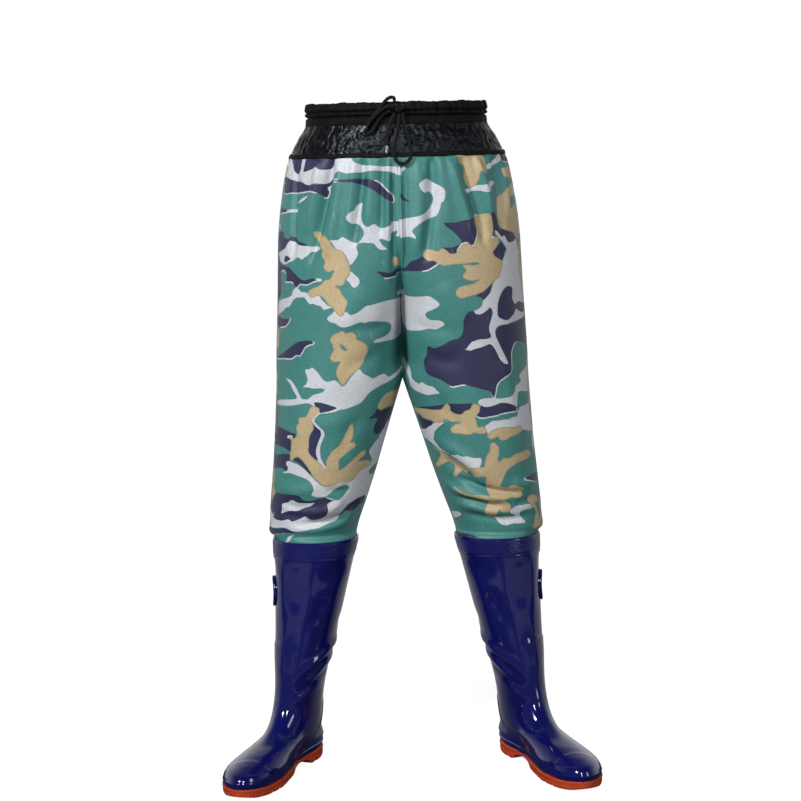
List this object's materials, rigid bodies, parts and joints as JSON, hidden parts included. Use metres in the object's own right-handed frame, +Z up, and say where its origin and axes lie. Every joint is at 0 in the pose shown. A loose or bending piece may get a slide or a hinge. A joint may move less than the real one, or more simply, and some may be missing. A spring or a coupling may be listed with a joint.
{
  "type": "waist wader",
  "caption": "Waist-high fishing wader with camouflage trousers, blue moulded boots, red-brown soles and a black corded waistband.",
  "frame": {"origin": "middle of the overall box, on the floor that both soles stand on", "axes": "+Z up from the soles to the waist, -Y to the front where the toes point, +X to the wearer's left boot"},
  "size_m": [0.5792, 0.3912, 1.0433],
  "materials": {
    "trouser_cloth": "satin",
    "band_cloth": "matte",
    "boot_rubber": "gloss",
    "sole_rubber": "matte",
    "insole_felt": "matte",
    "cord": "matte",
    "cord_tip": "gloss"
  },
  "bodies": {
    "root": {"back_seam": "trouser_cloth", "boot_cuff_left": "boot_rubber", "boot_cuff_right": "boot_rubber", "boot_upper_left": "boot_rubber", "boot_upper_right": "boot_rubber", "cord_tip_hanging": "cord_tip", "cord_tip_side": "cord_tip", "drawcord_end_hanging": "cord", "drawcord_end_side": "cord", "drawcord_knot": "cord", "drawcord_loop_hanging": "cord", "drawcord_loop_side": "cord", "front_seam": "trouser_cloth", "heel_counter_left": "boot_rubber", "heel_counter_right": "boot_rubber", "insole_left": "insole_felt", "insole_right": "insole_felt", "outseam_left": "trouser_cloth", "outseam_right": "trouser_cloth", "outsole_left": "sole_rubber", "outsole_right": "sole_rubber", "side_badge_left": "boot_rubber", "side_badge_right": "boot_rubber", "trousers": "trouser_cloth", "waist_binding": "band_cloth", "waist_casing": "band_cloth", "waist_skirt": "band_cloth"}
  },
  "joints": []
}
